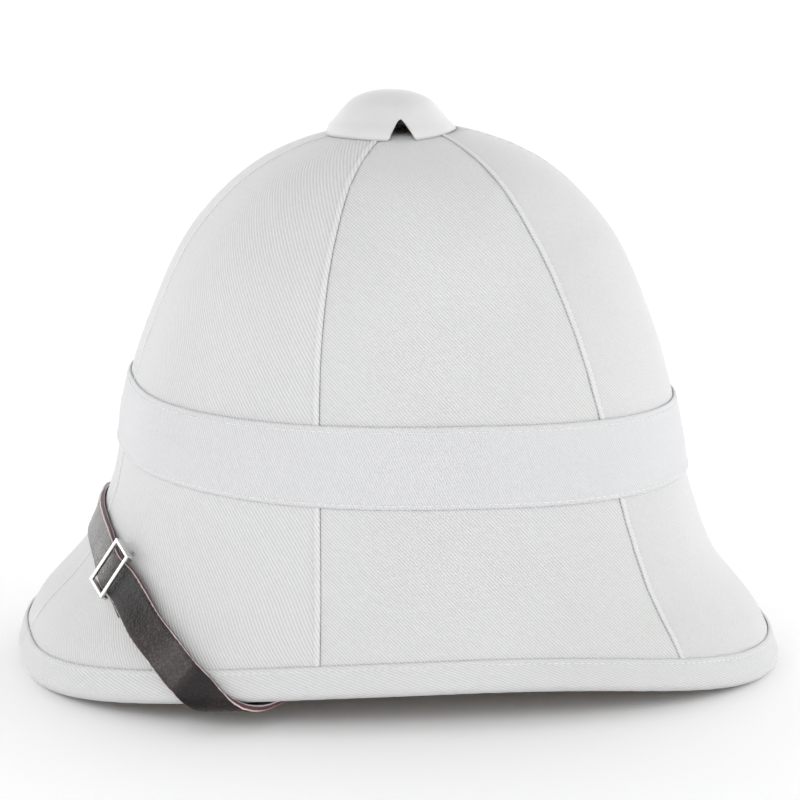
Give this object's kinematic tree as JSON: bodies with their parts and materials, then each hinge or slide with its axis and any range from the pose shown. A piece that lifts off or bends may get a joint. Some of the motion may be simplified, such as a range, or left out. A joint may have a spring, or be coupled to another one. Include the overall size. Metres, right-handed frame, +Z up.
{
  "type": "pith helmet",
  "caption": "White cloth-covered pith helmet with a tall crown, a sloping brim, a plain band, a vented cap and a leather chin strap over the peak.",
  "frame": {"origin": "middle of the bounding box in plan, on the plane that the brim rests on", "axes": "+Z up through the crown, -Y towards the front peak, +X towards the wearer's left"},
  "size_m": [0.2456, 0.3373, 0.2508],
  "materials": {
    "cork": "matt moulded cork",
    "cover_cloth": "white cotton twill",
    "band_cloth": "white cotton twill, folded",
    "binding_cloth": "white cotton twill, cut on the bias",
    "cap_shell": "white, covered in thin cloth",
    "collar_metal": "plain plated",
    "strap_leather": "dark brown pebble grain, glossy",
    "buckle_metal": "polished",
    "post_metal": "polished"
  },
  "bodies": {
    "root": {"cork_body": "cork", "cover_front_left": "cover_cloth", "cover_side_left": "cover_cloth", "cover_back_left": "cover_cloth", "cover_back_right": "cover_cloth", "cover_side_right": "cover_cloth", "cover_front_right": "cover_cloth", "hat_band": "band_cloth", "brim_binding": "binding_cloth", "vent_cap": "cap_shell", "vent_collar": "collar_metal", "chin_strap": "strap_leather", "strap_tail": "strap_leather", "slide_buckle": "buckle_metal", "strap_post_left": "post_metal", "strap_post_right": "post_metal"}
  },
  "joints": []
}
